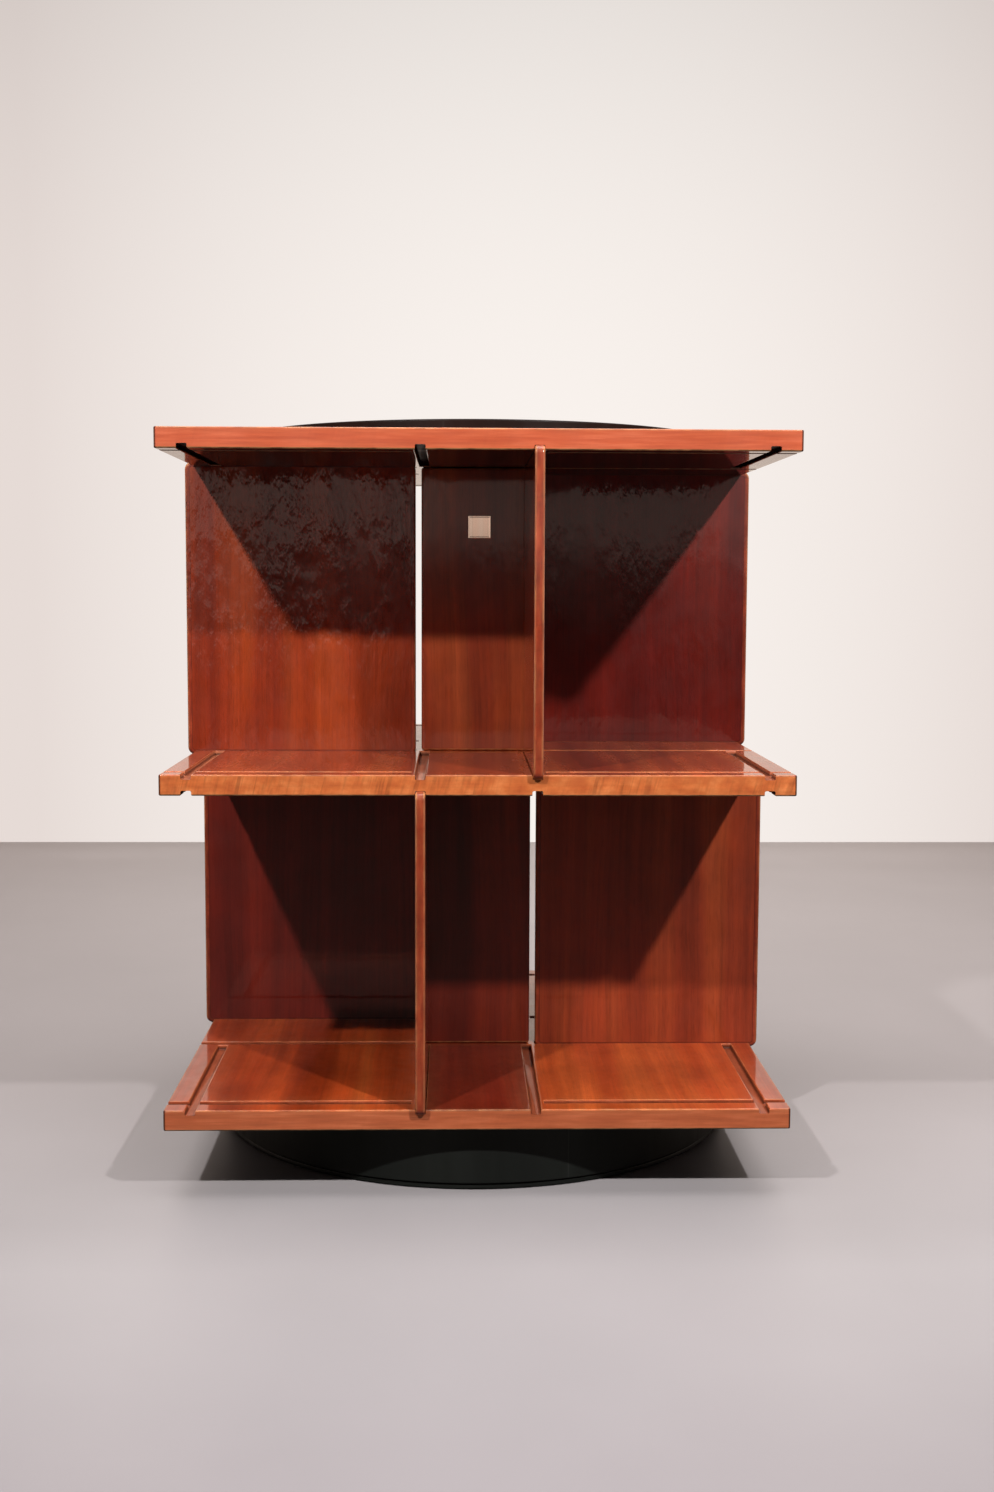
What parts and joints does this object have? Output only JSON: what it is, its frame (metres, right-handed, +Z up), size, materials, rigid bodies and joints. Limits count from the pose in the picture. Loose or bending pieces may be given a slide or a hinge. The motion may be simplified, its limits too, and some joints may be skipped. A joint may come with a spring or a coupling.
{
  "type": "rotating modular bookcase",
  "caption": "Square rotating bookcase: grooved boards hold removable upright dividers around hollow square columns, on a round swivel base, with a round disc on top.",
  "frame": {"origin": "on the swivel axis at floor level, in the middle of the round base", "axes": "+Z up along the swivel axis, -Y towards the front that the picture shows, +X to the right as seen from the front; rest pose has the boards square to the axes and every divider pushed home"},
  "size_m": [0.772, 0.772, 0.93],
  "materials": {
    "board_wood": "gloss-lacquered reddish brown wood, figured edges",
    "divider_wood": "gloss-lacquered reddish brown veneer, upright grain",
    "column_wood": "gloss-lacquered reddish brown veneer, upright grain",
    "inner_wood": "bare planed wood, unseen",
    "black_lacquer": "satin black lacquer on wood",
    "zinc_steel": "bright zinc-plated steel",
    "cage_plastic": "natural nylon, moulded",
    "felt": "dark grey pressed felt"
  },
  "bodies": {
    "base": {"floor_plate": "black_lacquer", "lower_race": "zinc_steel", "centre_rivet": "zinc_steel", "felt_pad_1": "felt", "felt_pad_2": "felt", "felt_pad_3": "felt", "felt_pad_4": "felt", "felt_pad_5": "felt", "felt_pad_6": "felt", "lower_race_screw_1": "zinc_steel", "lower_race_screw_2": "zinc_steel", "lower_race_screw_3": "zinc_steel", "lower_race_screw_4": "zinc_steel"},
    "cage": {"ball_cage": "cage_plastic"},
    "carcass": {"bearer_across": "inner_wood", "bearer_fore_aft": "inner_wood", "bottom_board": "board_wood", "disc_dowel_1": "inner_wood", "disc_dowel_2": "inner_wood", "disc_dowel_3": "inner_wood", "disc_dowel_4": "inner_wood", "drum_skirt": "black_lacquer", "drum_top": "inner_wood", "lower_column_back": "column_wood", "lower_column_front": "column_wood", "lower_column_left": "column_wood", "lower_column_right": "column_wood", "lower_foot_block": "inner_wood", "lower_head_block": "inner_wood", "lower_rod_nut": "zinc_steel", "lower_rod_washer": "zinc_steel", "middle_board": "board_wood", "tie_rod": "zinc_steel", "top_board": "board_wood", "top_disc": "black_lacquer", "upper_column_back": "column_wood", "upper_column_front": "column_wood", "upper_column_left": "column_wood", "upper_column_right": "column_wood", "upper_foot_block": "inner_wood", "upper_head_block": "inner_wood", "upper_race": "zinc_steel", "upper_race_screw_1": "zinc_steel", "upper_race_screw_2": "zinc_steel", "upper_race_screw_3": "zinc_steel", "upper_race_screw_4": "zinc_steel", "upper_rod_nut": "zinc_steel", "upper_rod_washer": "zinc_steel"},
    "lower_front_divider": {"lower_front_divider": "divider_wood"},
    "lower_right_divider": {"lower_right_divider": "divider_wood"},
    "lower_back_divider": {"lower_back_divider": "divider_wood"},
    "lower_left_divider": {"lower_left_divider": "divider_wood"},
    "upper_front_divider": {"upper_front_divider": "divider_wood"},
    "upper_right_divider": {"upper_right_divider": "divider_wood"},
    "upper_back_divider": {"upper_back_divider": "divider_wood"},
    "upper_left_divider": {"upper_left_divider": "divider_wood"}
  },
  "joints": [
    {"name": "swivel", "type": "hinge", "parent": "base", "child": "carcass", "pos_m": [0, 0, 0], "axis": [0, 0, 1], "continuous": true},
    {"name": "cage_roll", "type": "hinge", "parent": "base", "child": "cage", "pos_m": [0, 0, 0], "axis": [0, 0, 1], "continuous": true},
    {"name": "lower_front_divider_slide", "type": "slide", "parent": "carcass", "child": "lower_front_divider", "axis": [0, -1, 0], "range_m": [0, 0.31]},
    {"name": "lower_right_divider_slide", "type": "slide", "parent": "carcass", "child": "lower_right_divider", "axis": [1, 0, 0], "range_m": [0, 0.31]},
    {"name": "lower_back_divider_slide", "type": "slide", "parent": "carcass", "child": "lower_back_divider", "axis": [0, 1, 0], "range_m": [0, 0.31]},
    {"name": "lower_left_divider_slide", "type": "slide", "parent": "carcass", "child": "lower_left_divider", "axis": [-1, 0, 0], "range_m": [0, 0.31]},
    {"name": "upper_front_divider_slide", "type": "slide", "parent": "carcass", "child": "upper_front_divider", "axis": [0, -1, 0], "range_m": [0, 0.31]},
    {"name": "upper_right_divider_slide", "type": "slide", "parent": "carcass", "child": "upper_right_divider", "axis": [1, 0, 0], "range_m": [0, 0.31]},
    {"name": "upper_back_divider_slide", "type": "slide", "parent": "carcass", "child": "upper_back_divider", "axis": [0, 1, 0], "range_m": [0, 0.31]},
    {"name": "upper_left_divider_slide", "type": "slide", "parent": "carcass", "child": "upper_left_divider", "axis": [-1, 0, 0], "range_m": [0, 0.31]}
  ],
  "couplings": [
    {"joint": "cage_roll", "follows": "swivel", "ratio": 0.5}
  ]
}
